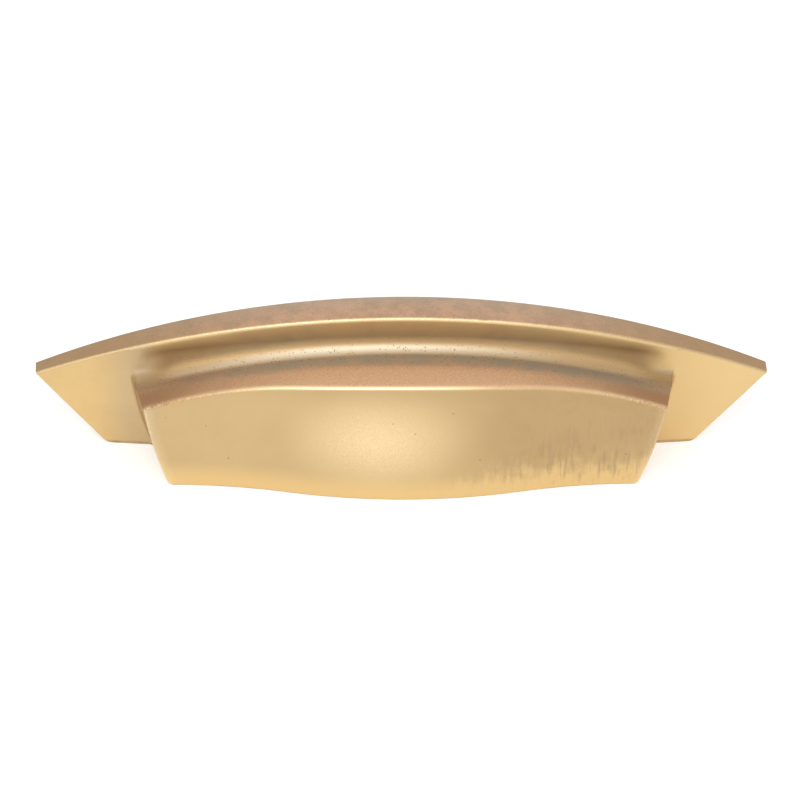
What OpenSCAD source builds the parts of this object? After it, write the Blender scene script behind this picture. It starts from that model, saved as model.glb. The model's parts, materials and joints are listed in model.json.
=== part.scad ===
// Cup pull: a drawer handle cast in one piece, with an arched plate, a swelling hood
// that the fingers reach behind, and two tapped posts inside it for screws from the back.
// The back of the plate is the plane Y = 0, the front faces -Y, and the origin lies
// midway between the mouths of the two screw holes.

/* [Plate] */
// Width of the plate from tip to tip, before its edges are rounded
plate_w = 130; // [124:0.5:140]
// Width of the plate's straight lower edge, before its corners are rounded
foot_w = 105; // [103:0.5:112]
// Height of the plate at its middle
plate_h = 28.8; // [27:0.1:32]
// Radius of the arched top edge
arch_r = 154; // [145:1:200]
// Thickness of the plate at its middle
plate_t = 6.5; // [5.5:0.1:7.5]
// Thickness of the plate at its tips
tip_t = 3; // [2.5:0.1:3.8]
// Radius of the plate's two lower corners
foot_r = 2; // [1:0.1:3]
// Rounding of the plate's front edge
edge_round = 0.7; // [0.4:0.1:1.2]

/* [Hood] */
// Height of plate that shows above the hood's roof
roof_drop = 6.2; // [5:0.1:7]
// Radius of the cove between plate and roof, at the middle
cove_r = 2.4; // [1.6:0.1:2.8]
// Width of the lip from corner to corner
lip_w = 82.6; // [80:0.1:86]
// Depth of the lip's ends from the back of the plate
lip_end_d = 16.9; // [15.5:0.1:19]
// How far the lip swells out between its ends
swell = 4.4; // [3:0.1:6]
// Lean of the front, foot outward, in degrees
front_lean = 7; // [4:0.1:9]
// Turn of the cheeks toward each other at the front, in degrees
cheek_turn = 11.5; // [8:0.1:14]
// Lean of the cheeks at the lip, top outward, in degrees
cheek_lean = 22; // [18:0.1:23]
// Radius of the cheeks' curve from the lip up to the roof
cheek_r = 68; // [60:1:100]
// Rounding of the brow, where roof and front meet
brow_round = 1; // [0.8:0.1:1.4]
// Rounding of the cheeks' edges
cheek_round = 0.6; // [0.3:0.1:0.7]
// Rounding of the lip's two corners
corner_r = 0.6; // [0.4:0.1:1.2]
// Rounding of both edges of the lip
lip_round = 0.4; // [0.3:0.1:0.8]
// Fillet where the cheeks meet the plate
cheek_fillet = 1.5; // [0.6:0.1:1.6]

/* [Inside] */
// Thickness of the hood's walls
wall = 2.6; // [2.2:0.1:3.2]
// Radius of the corners inside the hood
inner_r = 2.5; // [1.5:0.1:3]

/* [Screw posts] */
// Distance between the two screw holes
hole_spacing = 76.2; // [64:0.1:80]
// Height of the holes above the lower edge
hole_h = 12.5; // [11:0.1:13]
// Diameter of the posts
post_d = 8; // [7:0.1:9]
// Diameter of the tapped holes, at the crests of the thread
hole_d = 3.3; // [2.6:0.1:4.3]
// Depth of the holes to the start of the drill point
hole_depth = 10; // [7:0.1:11]
// Chamfer at the mouth of the holes
hole_chamfer = 0.4; // [0.2:0.05:0.6]

/* [Hidden] */
$fn = 64;
// Half widths of the plate, its lower edge and the lip
half_w = plate_w/2;
half_foot = foot_w/2;
half_lip = lip_w/2;
// Radius of the plate's bowed front, through its middle and its tips
bow_r = (half_w^2 + (plate_t - tip_t)^2)/(2*(plate_t - tip_t));
// Radius of the two arcs that make each half of the lip's ogee
ogee_r = ((half_lip/2)^2 + (swell/2)^2)/swell;
// Depth at which the roof begins
roof_d = plate_t + cove_r;
// Run of the plate's slanted ends for each mm of height
end_run = (half_w - half_foot)/top_z(half_w);
// Lower corner's arc: its centre across, and the height where it ends
foot_x = half_foot + foot_r*(end_run - sqrt(1 + end_run^2));
foot_top = foot_r*(1 - end_run/sqrt(1 + end_run^2));
// Rounding of the slanted ends, finer than that of the plate's front edge
rim_round = 0.6*edge_round;
// Depth of the plate's face at the cheeks, and the reach of the fillet there
side_d = face_d(cheek_x(plate_t, roof_z(half_lip)/2));
fillet_l = cheek_fillet*tan(45 - cheek_turn/2);
// Thickness of the hood's walls along the depth and across
wall_d = wall/cos(front_lean);
wall_x = wall/cos(cheek_turn);
// Rounding of the inside where its front and roof meet the cheeks
inner_side_r = 0.8*inner_r;
// Length of the posts, which end in the hood's front wall
post_l = front_d(hole_spacing/2, hole_h) - wall/2;
// Full angle of the drill point
drill_angle = 118;
// Overrun of the cuts past the faces that they open
over = 1;

// Steps round each arc of the section
edge_n = 3;
cove_n = 5;
brow_n = 4;
front_n = 4;
lip_n = 3;
// Steps across one half of the casting
hood_n = 22;
cheek_n = 3;
fillet_n = 3;
wing_n = 3;
rim_n = 3;
// Steps round the corners inside the hood
corner_n = 4;

// Unit direction in a section, which is drawn as [depth, height]
function ray(a) = [cos(a), sin(a)];

// Form of the casting: the arched top, the bowed face, the level roof and the ogee front
function top_z(x) = plate_h - arch_r + sqrt(arch_r^2 - x^2);
function face_d(x) = plate_t - bow_r + sqrt(bow_r^2 - x^2);
function roof_z(x) = top_z(x) - roof_drop;
function cove_at(x) = roof_d - face_d(x);
function ogee(a) =
    a > half_lip ? 0
    : a > half_lip/2 ? ogee_r - sqrt(ogee_r^2 - (half_lip - a)^2)
    : swell - ogee_r + sqrt(ogee_r^2 - a^2);
function front_d(x, z) = lip_end_d + ogee(abs(x)) - z*tan(front_lean);

// Half width of the hood at its cheeks, its cut at the lip's corners, and the half width of
// the plate at its slanted ends
function cheek_x(d, z) = cheek_line(d) + cheek_bulge(z);
function cheek_line(d) = half_lip + (lip_end_d - d)*tan(cheek_turn);
function cheek_bulge(z) =
    sqrt(cheek_r^2 - (cheek_r*sin(cheek_lean) - z)^2) - cheek_r*cos(cheek_lean);
function corner_cut(z) = z < corner_r ? corner_r - sqrt(corner_r^2 - (corner_r - z)^2) : 0;
function end_x(z) =
    z < foot_top ? foot_x + sqrt(foot_r^2 - (foot_r - z)^2) : half_foot + z*end_run;

// Rows of the outer section, from the top of the back over the hood to the lip: [kind, share]
rows = [
    ["back", 0],
    for (i = [0:edge_n]) ["edge", i/edge_n],
    for (i = [0:cove_n]) ["cove", i/cove_n],
    for (i = [0:brow_n]) ["brow", i/brow_n],
    for (i = [1:front_n - 1]) ["front", i/front_n],
    for (i = [0:lip_n]) ["lip", i/lip_n],
];
last_row = len(rows) - 1;
roof_row = edge_n + cove_n + 2;

// Direction in which the surface faces on a row
function facing(row) =
    let (kind = row[0], u = row[1])
    kind == "back" ? 90
    : kind == "edge" ? 90 - 90*u
    : kind == "cove" ? 90*u
    : kind == "brow" ? 90 - (90 - front_lean)*u
    : kind == "front" ? front_lean
    : front_lean - (90 + front_lean)*u;

// Depth and height of a row of the section at x
function section(row, x) =
    let (
        kind = row[0],
        a = ray(facing(row)),
        brow_z = roof_z(x) - brow_round,
        front_top = brow_z + brow_round*sin(front_lean),
        front_foot = lip_round*(1 + sin(front_lean)),
        z = front_top + (front_foot - front_top)*row[1]
    )
    kind == "back" ? [0, top_z(x)]
    : kind == "edge" ? [face_d(x), top_z(x)] - edge_round*([1, 1] - a)
    : kind == "cove" ? [roof_d, roof_z(x) + cove_at(x)] - cove_at(x)*a
    : kind == "brow" ? touching(front_d(x, brow_z), brow_z, -brow_round) + brow_round*a
    : kind == "front" ? [front_d(x, z), z]
    : touching(front_d(x, lip_round), lip_round, -lip_round) + lip_round*a;

// Centre of an arc at height z that touches a leaning face of depth d there
function touching(d, z, r) = [d + r/cos(front_lean), z];

// Place across of a point on a station: over the hood, round the cheek's edge, down its
// fillet, along the plate's wing, and round the rim of the plate's slanted end. On the flat
// back the stations run straight up
function station_x(part, v, d, z, flat = false) =
    let (
        bulge = flat ? back_slope*z : cheek_bulge(z),
        side = cheek_line(max(d, side_d + 1.2*fillet_l)) + bulge - corner_cut(z),
        foot = cheek_line(side_d) + bulge + fillet_l
    )
    part == "hood" ? v*(side - cheek_round)
    : part == "cheek" ? side - cheek_round*(1 - sin(90*v))
    : part == "fillet" ? foot + cheek_fillet*cos(fillet_angle(v))
    : part == "wing" ? foot + v*(end_x(z) - rim_round - foot)
    : end_x(z) - rim_round*(1 - sin(90*v));

function fillet_angle(v) = 180 + cheek_turn + (90 - cheek_turn)*v;

// Section point of a row of the hood, cut back by share v of the cheek's rounding
function cheek_row(i, v) =
    let (
        p = place(i, "hood", 1),
        a = ray(facing(rows[i])),
        cut = cheek_round*(1 - cos(90*v))*(i < roof_row ? rows[i][1] : 1)
    )
    [p[1] - cut*a[0], p[2] - cut*max(a[1], 0)];

// Share of the plate's height at which each row of the hood runs out on the plate
function on_plate(i) = i <= edge_n + 1;
levels = [
    for (i = [0:last_row])
        let (
            left = (last_row - i)/(last_row - roof_row),
            z = i > roof_row ? cheek_row(roof_row, 1)[1]*left^1.6 : cheek_row(i, 1)[1]
        )
        on_plate(i) ? 1 : z/(top_z(station_x("fillet", 1, 0, z)) - edge_round)
];

// Lean of the stations on the flat back
back_top = place(0, "fillet", 0)[2];
back_slope = cheek_bulge(back_top)/back_top;

// Depth and height of a row at x, on the stations beside the hood
function beside(i, part, v, x) =
    let (
        rim = part == "rim" ? rim_round*(1 - cos(90*v)) : 0,
        level = levels[i]*(top_z(x) - edge_round),
        hood = cheek_row(i, 1)[0] - face_d(x),
        rise = min(hood, cheek_fillet*(1 + sin(fillet_angle(v))))
    )
    on_plate(i) ? section(rows[i], x) - rim*ray(facing(rows[i]))
    : part == "cheek" ? cheek_row(i, v)
    : [face_d(x) + (part == "fillet" ? rise : -rim), level];

// Where a row and a station meet: [across, depth, height], with x stepped until it rests
function place(i, part, v, x = 30, steps = 10) =
    let (p = part == "hood" ? section(rows[i], x) : beside(i, part, v, x))
    steps == 0 ? [x, p[0], p[1]]
    : place(i, part, v, station_x(part, v, p[0], p[1]), steps - 1);

// Rows of the space inside the hood, from the lip up its front and back along its roof
inside_rows = [
    for (i = [0:lip_n]) ["lip", i/lip_n],
    for (i = [1:front_n - 1]) ["front", i/front_n],
    for (i = [0:corner_n]) ["corner", i/corner_n],
    ["opening", 0],
];

function inside_d(x, z) = front_d(x, z) - wall_d;
function inside_z(x) = roof_z(x) - wall;
function inside_x(d, z) = cheek_x(d, z) - wall_x;

// Depth and height of a row of the inside at x, cut back by the rounding beside the cheeks
function inside_section(row, x, cut) =
    let (
        kind = row[0],
        u = row[1],
        a = kind == "opening" ? 90 : front_lean + (kind == "corner" ? (90 - front_lean)*u : 0),
        lip = touching(inside_d(x, lip_round), lip_round, lip_round),
        corner_z = inside_z(x) - inner_r,
        z = lip[1] + (corner_z - lip[1])*u
    )
    kind == "lip" ? lip + lip_round*ray(270 - (90 - front_lean)*u) - [cut, 0]
    : kind == "front" ? [inside_d(x, z) - cut, z]
    : kind == "corner" ? touching(inside_d(x, corner_z), corner_z, -inner_r) + (inner_r - cut)*ray(a)
    : [0, inside_z(x) - cut];

// Where a row of the inside meets a station: on the hood's inner walls, or beyond the cheeks
// on the plane of the lower edge, spread over the depth of the wing there
function inside_place(row, part, v, x = 30, steps = 10) =
    let (
        round = inner_side_r*(part == "hood" ? 1 : 1 - sin(90*v)),
        cut = inner_side_r*(part == "hood" ? 0 : 1 - cos(90*v)),
        p = inside_section(row, x, cut),
        side = inside_x(p[0], p[1]) - round
    )
    part == "hood" || part == "cheek"
        ? steps == 0 ? [x, p[0], p[1]]
            : inside_place(row, part, v, part == "hood" ? v*side : side, steps - 1)
        : let (
            d = inside_place(row, "cheek", 1)[1],
            share = 0.9*d/inside_place(inside_rows[0], "cheek", 1)[1],
            wing = place(last_row, part, v)
        )
        part == "fillet" && v == 0 ? [inside_x(d, 0), d, 0] : [wing[0], share*wing[1], 0];

// Rows of the flat back, from the opening or the lower edge up toward the top
function back_place(k, part, v, x = 30, steps = 10) =
    let (
        foot = inside_place(inside_rows[len(inside_rows) - 1], part, v)[2],
        z = foot > 0 ? foot + (top_z(x) - foot)*k/(lip_n + 1)
            : levels[last_row - k]*(top_z(x) - edge_round)
    )
    steps == 0 ? [x, 0, z] : back_place(k, part, v, station_x(part, v, 0, z, true), steps - 1);

// Stations of one half, from the middle to the tip
stations = [
    for (i = [0:hood_n]) ["hood", i/hood_n],
    for (i = [1:cheek_n]) ["cheek", i/cheek_n],
    for (i = [0:fillet_n]) ["fillet", i/fillet_n],
    for (i = [1:wing_n]) ["wing", i/wing_n],
    for (i = [1:rim_n]) ["rim", i/rim_n],
];

// One closed loop of the skin: over the front, along the inside and up the back
function loop(station) = [
    for (i = [0:last_row]) place(i, station[0], station[1]),
    for (row = inside_rows) inside_place(row, station[0], station[1]),
    for (k = [1:lip_n]) back_place(k, station[0], station[1]),
];

// The cast body: its loops skinned from end to end, and each slanted end closed by one
// face, with strips below it that follow the rounded lower corner
module body() {
    half = [for (s = stations) loop(s)];
    loops = [
        for (i = [len(half) - 1:-1:1]) [for (p = half[i]) [-p[0], p[1], p[2]]],
        for (l = half) l,
    ];
    n = len(loops[0]);
    up = last_row + len(inside_rows);
    skin = [
        for (i = [0:len(loops) - 2], j = [0:n - 1])
            let (k = (j + 1) % n) [i*n + j, (i + 1)*n + j, (i + 1)*n + k, i*n + k]
    ];
    cap = [
        [for (i = [last_row - 1:up + 1]) i],
        for (k = [1:lip_n - 1]) [last_row - k - 1, last_row - k, up + k, up + k + 1],
        concat([for (i = [0:last_row - lip_n]) i], up + lip_n),
    ];
    far = n*(len(loops) - 1);
    far_cap = [for (face = cap) [for (i = [len(face) - 1:-1:0]) far + face[i]]];
    points = [for (l = loops, p = l) [p[0], -p[1], p[2] - hole_h]];
    polyhedron(points, concat(skin, cap, far_cap));
}

// Places its children at both screw holes, pointing into the hood
module at_holes() {
    for (side = [-1, 1])
        translate([side*hole_spacing/2, 0, 0])
            rotate([90, 0, 0])
                children();
}

// Blind tapped hole with a chamfered mouth and a drill point
module screw_hole() {
    r = hole_d/2;
    rotate_extrude()
        polygon([
            [0, -over],
            [r + hole_chamfer + over, -over],
            [r, hole_chamfer],
            [r, hole_depth],
            [0, hole_depth + r/tan(drill_angle/2)],
        ]);
}

module cup_pull() {
    color([0.87, 0.73, 0.5])
        difference() {
            union() {
                body();
                at_holes()
                    cylinder(d = post_d, h = post_l);
            }
            at_holes()
                screw_hole();
        }
}

cup_pull();
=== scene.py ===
import json
import math
from functools import partial

import bmesh
import bpy
import numpy as np
from bpy.props import FloatProperty, FloatVectorProperty, PointerProperty
from mathutils import Matrix, Vector, noise


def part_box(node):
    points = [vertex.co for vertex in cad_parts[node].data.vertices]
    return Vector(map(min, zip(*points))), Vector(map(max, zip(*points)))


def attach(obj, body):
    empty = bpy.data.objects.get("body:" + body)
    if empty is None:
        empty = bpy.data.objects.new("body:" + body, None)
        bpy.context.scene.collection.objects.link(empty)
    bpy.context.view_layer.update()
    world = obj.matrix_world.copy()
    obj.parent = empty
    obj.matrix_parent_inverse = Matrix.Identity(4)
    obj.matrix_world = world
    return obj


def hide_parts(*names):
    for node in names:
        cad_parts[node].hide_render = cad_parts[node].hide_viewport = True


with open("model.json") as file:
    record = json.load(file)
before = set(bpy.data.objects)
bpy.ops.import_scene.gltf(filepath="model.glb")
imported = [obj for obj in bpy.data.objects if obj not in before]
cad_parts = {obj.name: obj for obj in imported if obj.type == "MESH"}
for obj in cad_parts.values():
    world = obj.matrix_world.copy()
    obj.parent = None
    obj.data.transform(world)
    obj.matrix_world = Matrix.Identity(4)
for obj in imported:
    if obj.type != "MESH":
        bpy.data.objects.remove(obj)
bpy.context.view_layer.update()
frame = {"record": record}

bl_info = {
    "name": "Cup Pull",
    "version": (1, 0, 0),
    "blender": (4, 5, 0),
    "location": "3D View > Sidebar > Cup Pull",
    "description": "Builds a cast brass cup pull with a worn patina, and a plain white stage for it",
    "category": "Object",
}

MM = 0.001
LOW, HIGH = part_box("cup_pull")
SCREW_HOLES = frame["record"]["mounts"][0]["dims"]
HOLE_SPACING = SCREW_HOLES["spacing_x_mm"]*MM
HOLE_D = 2*SCREW_HOLES["hole_r_mm"]*MM
PIECE = "cup_pull_casting"


# Settings

def number(name, description, default, **kind):
    return FloatProperty(name=name, description=description, default=default, **kind)


def length(name, description, default):
    return number(name, description, default, min=0.0, subtype="DISTANCE", unit="LENGTH", precision=5)


def angle(name, description, default):
    return number(name, description, math.radians(default), subtype="ANGLE", unit="ROTATION")


def share(name, description, default):
    return number(name, description, default, min=0.0, max=1.0, subtype="FACTOR")


def tint(name, description, default):
    return FloatVectorProperty(
        name=name, description=description, default=default, size=3, min=0.0, max=1.0, subtype="COLOR",
    )


class CUPPULL_PG_sizes(bpy.types.PropertyGroup):
    """Sizes of the casting, the same as in the solid model."""
    plate_w: length("Plate width", "Width of the plate from tip to tip, before its ends are rounded", 130*MM)
    foot_w: length("Foot width", "Width of the plate's straight lower edge", 105*MM)
    plate_h: length("Plate height", "Height of the plate at its middle", HIGH.z - LOW.z)
    arch_r: length("Arch radius", "Radius of the arched top edge", 154*MM)
    plate_t: length("Plate thickness", "Thickness of the plate at its middle", 6.5*MM)
    tip_t: length("Tip thickness", "Thickness of the plate at its tips", 3*MM)
    foot_r: length("Foot radius", "Radius of the plate's two lower corners", 2*MM)
    edge_round: length("Edge rounding", "Rounding of the plate's front edge", 0.7*MM)
    roof_drop: length("Roof drop", "Height of plate that shows above the hood's roof", 6.2*MM)
    cove_r: length("Cove radius", "Radius of the cove between plate and roof", 2.4*MM)
    lip_w: length("Lip width", "Width of the lip from corner to corner", 82.6*MM)
    lip_end_d: length("Lip end depth", "Depth of the lip's ends from the back", 16.9*MM)
    swell: length("Swell", "How far the lip swells out between its ends", 4.4*MM)
    front_lean: angle("Front lean", "Lean of the front, foot outward", 7)
    cheek_turn: angle("Cheek turn", "Turn of the cheeks toward each other at the front", 11.5)
    cheek_lean: angle("Cheek lean", "Lean of the cheeks at the lip, top outward", 22)
    cheek_r: length("Cheek radius", "Radius of the cheeks' curve from the lip up to the roof", 68*MM)
    brow_round: length("Brow rounding", "Rounding where roof and front meet", 1*MM)
    cheek_round: length("Cheek rounding", "Rounding of the cheeks' edges", 0.6*MM)
    corner_r: length("Corner radius", "Rounding of the lip's two corners", 0.6*MM)
    lip_round: length("Lip rounding", "Rounding of both edges of the lip", 0.4*MM)
    cheek_fillet: length("Cheek fillet", "Fillet where the cheeks meet the plate", 1.5*MM)
    wall: length("Wall", "Thickness of the hood's walls", 2.6*MM)
    inner_r: length("Inner radius", "Radius of the corners inside the hood", 2.5*MM)
    hole_spacing: length("Hole spacing", "Distance between the screw holes", HOLE_SPACING)
    hole_h: length("Hole height", "Height of the holes above the lower edge", -LOW.z)
    hole_d: length("Hole diameter", "Diameter of the holes at the thread's crests", HOLE_D)
    post_d: length("Post diameter", "Diameter of the posts", 8*MM)
    hole_depth: length("Hole depth", "Depth of the holes to the start of the drill point", 10*MM)
    hole_chamfer: length("Hole chamfer", "Chamfer at the mouth of the holes", 0.4*MM)
    thread_d: length("Thread diameter", "Diameter of the thread at its roots", 4*MM)
    thread_pitch: length("Thread pitch", "Pitch of the thread in the holes", 0.7*MM)
    waver: length("Waver", "Depth of the unevenness that hand finishing left", 0.035*MM)


class CUPPULL_PG_finish(bpy.types.PropertyGroup):
    """Colours of the brass and of its patina, some of them also laid as painted light and shade."""
    brass: tint("Brass", "Worn brass on the plate and along the lip", (0.74, 0.525, 0.242))
    satin: tint("Satin brass", "Brass of the front, handled to a satin", (0.62, 0.447, 0.226))
    # Also laid as painted highlights along the edges, along the brow and in the middle of the front.
    rubbed_and_highlight: tint("Rubbed brass", "Bare brass on edges and where fingers rub", (0.90, 0.69, 0.395))
    # Also laid as painted shade beside the hood, under the brow and in the upper cove.
    dull: tint("Dull brass", "Brass dulled by a brown film", (0.49, 0.328, 0.161))
    # A painted highlight: the cove's light band, laid as a paler brass.
    pale: tint("Pale brass", "Brass worn pale along the cove", (0.727, 0.616, 0.454))
    copper: tint("Copper patina", "Reddish patina on the faces that look up", (0.65, 0.40, 0.255))
    # A lighter copy of the copper patina, painted light where the roof and the brow face up.
    lit_copper: tint("Bright copper", "That patina worn thin, on the roof and along the brow", (0.79, 0.51, 0.305))
    # Also laid as a grey painted shade in the fillet beside the hood and at the cove's right end.
    ash: tint("Grey film", "Grey brown film at the foot of the cove and along the back", (0.42, 0.385, 0.31))
    # Partly patina and partly painted shade at the roof's two ends.
    red_patina_and_shade: tint("Red patina", "Dark red patina at the two ends of the roof", (0.37, 0.19, 0.105))
    umber: tint("Umber patina", "Brown smudges in that patina", (0.31, 0.235, 0.155))
    # These two tints are partly tarnishing and partly painted shade: the darkened face under the top edge,
    # browner toward its ends.
    tarnish: tint("Tarnish", "Olive brown tarnish on the face under the top edge", (0.33, 0.25, 0.15))
    bister: tint("Brown tarnish", "Browner tarnish toward the two ends of that face", (0.285, 0.175, 0.083))
    # Also laid as painted shade in the corners beside the hood and along the lip's lower edge.
    soot_and_shade: tint("Grime", "Dark grime in the corners and the pits", (0.19, 0.130, 0.072))
    cast: tint("Cast skin", "Brown skin of the casting inside the hood", (0.40, 0.255, 0.12))
    ground: tint("Ground brass", "Brass of the back, ground flat", (0.72, 0.50, 0.235))
    cut: tint("Cut brass", "Bright brass in the tapped holes", (0.84, 0.61, 0.30))
    patina: share("Patina", "How much of the upper faces the patina covers", 1.0)


class CUPPULL_PG_stage(bpy.types.PropertyGroup):
    """Floor, light and camera."""
    floor: tint("Floor", "Colour of the floor", (0.78, 0.78, 0.78))
    floor_lift: share("Floor lift", "Light added to the floor where it is seen", 0.52)
    key: number("Key light", "Strength of the front light, in watts", 0.8, min=0.0)
    elevation: angle("Elevation", "Height of the view above the horizontal", 36.9)
    turn: angle("Turn", "Turn of the view round the pull", -3.86)
    roll: angle("Roll", "Roll of the camera", -2.224)
    distance: length("Distance", "Distance of the camera from the pull", 900*MM)
    lens: number("Lens", "Focal length, in mm", 228.04, subtype="DISTANCE_CAMERA")
    aim_right: length("Aim to the right", "Place of the pull's middle right of the view's centre", 0.31*MM)
    aim_up: length("Aim up", "Place of the pull's middle above the view's centre", 4.72*MM)


# Form of the casting

def smooth(value, low, high):
    """Eases from 0 at low to 1 at high."""
    t = np.clip((np.asarray(value, float) - low)/(high - low), 0.0, 1.0)
    return t*t*(3 - 2*t)


def hump(value, middle, reach):
    """1 at the middle, easing to 0 at the reach on both sides."""
    return 1 - smooth(np.abs(np.asarray(value, float) - middle), 0.0, reach)


def steps(kind, count, first=0, last=None):
    """Rows or stations of one kind, spaced evenly over its share from 0 to 1."""
    last = count if last is None else last
    return [(kind, i/count) for i in range(first, last + 1)]


# Rounds in which a place settles, as many as in the solid model, and the distance across it starts from
SETTLE = 10
SEEK_FROM = 30*MM
# Rounds in which the ends of the cove melt into the plate, and the stations there beside the hood
MELT = 40
BESIDE_HOOD = ("cheek", "side", "fillet")
# Share of the lower edge's depth over which the inside's rows spread on it
EDGE_SPREAD = 0.9
# Power by which the hood's rows draw together on the plate toward the lower edge
RUN_OUT = 1.6
# The first and the last share of a kind of station
START = np.array([0.0])
END = np.array([1.0])


class Casting:
    """The pull's skin. A place is (across, depth from the back, height above the lower edge)."""

    outer_rows = (
        steps("back", 1, 0, 0) + steps("band", 6, 1, 5) + steps("edge", 8) + steps("face", 4, 1, 3)
        + steps("cove", 14) + steps("roof", 10, 1, 9) + steps("brow", 10) + steps("front", 26, 1, 25)
        + steps("lip", 10)
    )
    inner_rows = (
        steps("lip", 6) + steps("front", 12, 1, 11) + steps("corner", 10) + steps("ceiling", 6, 1, 5)
        + steps("opening", 1, 0, 0)
    )
    back_rows = 10
    stations = (
        steps("hood", 120) + steps("cheek", 6, 1) + steps("side", 8, 1, 7) + steps("fillet", 7)
        + steps("wing", 24, 1) + steps("rim", 3, 1)
    )

    def __init__(self, sizes):
        for key in sizes.bl_rna.properties.keys():
            value = getattr(sizes, key)
            if isinstance(value, float):
                setattr(self, key, value)
        self.half_w = self.plate_w/2
        self.half_foot = self.foot_w/2
        self.half_lip = self.lip_w/2
        bow = self.plate_t - self.tip_t
        self.bow_r = (self.half_w**2 + bow**2)/(2*bow)
        self.ogee_r = ((self.half_lip/2)**2 + (self.swell/2)**2)/self.swell
        self.roof_d = self.plate_t + self.cove_r
        self.end_run = (self.half_w - self.half_foot)/self.top_z(self.half_w)
        slant = math.hypot(1, self.end_run)
        self.foot_x = self.half_foot + self.foot_r*(self.end_run - slant)
        self.foot_top = self.foot_r*(1 - self.end_run/slant)
        self.rim_round = 0.6*self.edge_round
        self.side_d = self.face_d(self.cheek_x(self.plate_t, self.roof_z(self.half_lip)/2))
        self.fillet_l = self.cheek_fillet*math.tan(math.pi/4 - self.cheek_turn/2)
        self.wall_d = self.wall/math.cos(self.front_lean)
        self.wall_x = self.wall/math.cos(self.cheek_turn)
        self.inner_side_r = 0.8*self.inner_r
        self.last = len(self.outer_rows) - 1
        self.roof_row = self.outer_rows.index(("cove", 1.0))
        self.plate_row = self.outer_rows.index(("edge", 1.0))
        self.hood_ends = [self.place(i, "hood", END)[0] for i in range(self.last + 1)]
        self.levels = [self.level(i) for i in range(self.last + 1)]
        back_top = self.place(0, "fillet", START)[0, 2]
        self.back_slope = self.cheek_bulge(back_top)/back_top

    def top_z(self, x):
        return self.plate_h - self.arch_r + np.sqrt(self.arch_r**2 - x**2)

    def face_d(self, x):
        return self.plate_t - self.bow_r + np.sqrt(self.bow_r**2 - x**2)

    def roof_z(self, x):
        return self.top_z(x) - self.roof_drop

    def ogee(self, x):
        a = np.minimum(np.abs(x), self.half_lip)
        flank = self.ogee_r - np.sqrt(self.ogee_r**2 - np.maximum(self.half_lip - a, 0)**2)
        belly = self.swell - self.ogee_r + np.sqrt(np.maximum(self.ogee_r**2 - a**2, 0))
        return np.where(a > self.half_lip/2, flank, belly)

    def front_d(self, x, z):
        return self.lip_end_d + self.ogee(x) - z*math.tan(self.front_lean)

    def cheek_line(self, d):
        return self.half_lip + (self.lip_end_d - d)*math.tan(self.cheek_turn)

    def cheek_bulge(self, z):
        low = self.cheek_r*math.sin(self.cheek_lean) - z
        return np.sqrt(self.cheek_r**2 - low**2) - self.cheek_r*math.cos(self.cheek_lean)

    def cheek_x(self, d, z):
        return self.cheek_line(d) + self.cheek_bulge(z)

    def corner_cut(self, z):
        low = np.maximum(self.corner_r - z, 0)
        return self.corner_r - np.sqrt(self.corner_r**2 - low**2)

    def end_x(self, z):
        corner = self.foot_x + np.sqrt(np.maximum(self.foot_r**2 - (self.foot_r - z)**2, 0))
        return np.where(z < self.foot_top, corner, self.half_foot + z*self.end_run)

    def facing(self, row):
        """Direction in which the section's surface looks on a row, as (depth, height)."""
        kind, u = row
        right = math.pi/2
        turn = {
            "back": right, "band": right, "edge": right*(1 - u), "face": 0.0, "cove": right*u, "roof": right,
            "brow": right - (right - self.front_lean)*u, "front": self.front_lean,
            "lip": self.front_lean - (right + self.front_lean)*u,
        }[kind]
        return math.cos(turn), math.sin(turn)

    def touching(self, d, r):
        """Depth of the centre of an arc that touches a leaning face, whose depth at its height is d."""
        return d + r/math.cos(self.front_lean)

    def section(self, row, x):
        """Depth and height of a row of the outside at x."""
        kind, u = row
        ad, az = self.facing(row)
        top = self.top_z(x)
        face = self.face_d(x)
        roof = self.roof_z(x)
        cove = self.roof_d - face
        brow_z = roof - self.brow_round
        lean = math.sin(self.front_lean)
        if kind == "back":
            return 0*x, top
        if kind == "band":
            return u*(face - self.edge_round), top
        if kind == "edge":
            return face - self.edge_round*(1 - ad), top - self.edge_round*(1 - az)
        if kind == "face":
            high = top - self.edge_round
            return face, high + (roof + cove - high)*u
        if kind == "cove":
            return self.roof_d - cove*ad, roof + cove - cove*az
        brow_d = self.touching(self.front_d(x, brow_z), -self.brow_round)
        if kind == "roof":
            return self.roof_d + (brow_d - self.roof_d)*u, roof
        if kind == "brow":
            return brow_d + self.brow_round*ad, brow_z + self.brow_round*az
        if kind == "front":
            high = brow_z + self.brow_round*lean
            z = high + (self.lip_round*(1 + lean) - high)*u
            return self.front_d(x, z), z
        lip_d = self.touching(self.front_d(x, self.lip_round), -self.lip_round)
        return lip_d + self.lip_round*ad, self.lip_round*(1 + az) + 0*x

    def fillet_turn(self, v):
        return math.pi + self.cheek_turn + (math.pi/2 - self.cheek_turn)*v

    def station_x(self, part, v, d, z, flat=False):
        """Place across of a point on a station. On the flat back the stations run straight up."""
        bulge = self.back_slope*z if flat else self.cheek_bulge(z)
        side = self.cheek_line(np.maximum(d, self.side_d + 1.2*self.fillet_l)) + bulge - self.corner_cut(z)
        foot = self.cheek_line(self.side_d) + bulge + self.fillet_l
        if part == "hood":
            return v*(side - self.cheek_round)
        if part == "cheek":
            return side - self.cheek_round*(1 - np.sin(math.pi/2*v))
        if part == "fillet":
            return foot + self.cheek_fillet*np.cos(self.fillet_turn(v))
        if part == "wing":
            return foot + v*(self.end_x(z) - self.rim_round - foot)
        return self.end_x(z) - self.rim_round*(1 - np.sin(math.pi/2*v))

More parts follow.
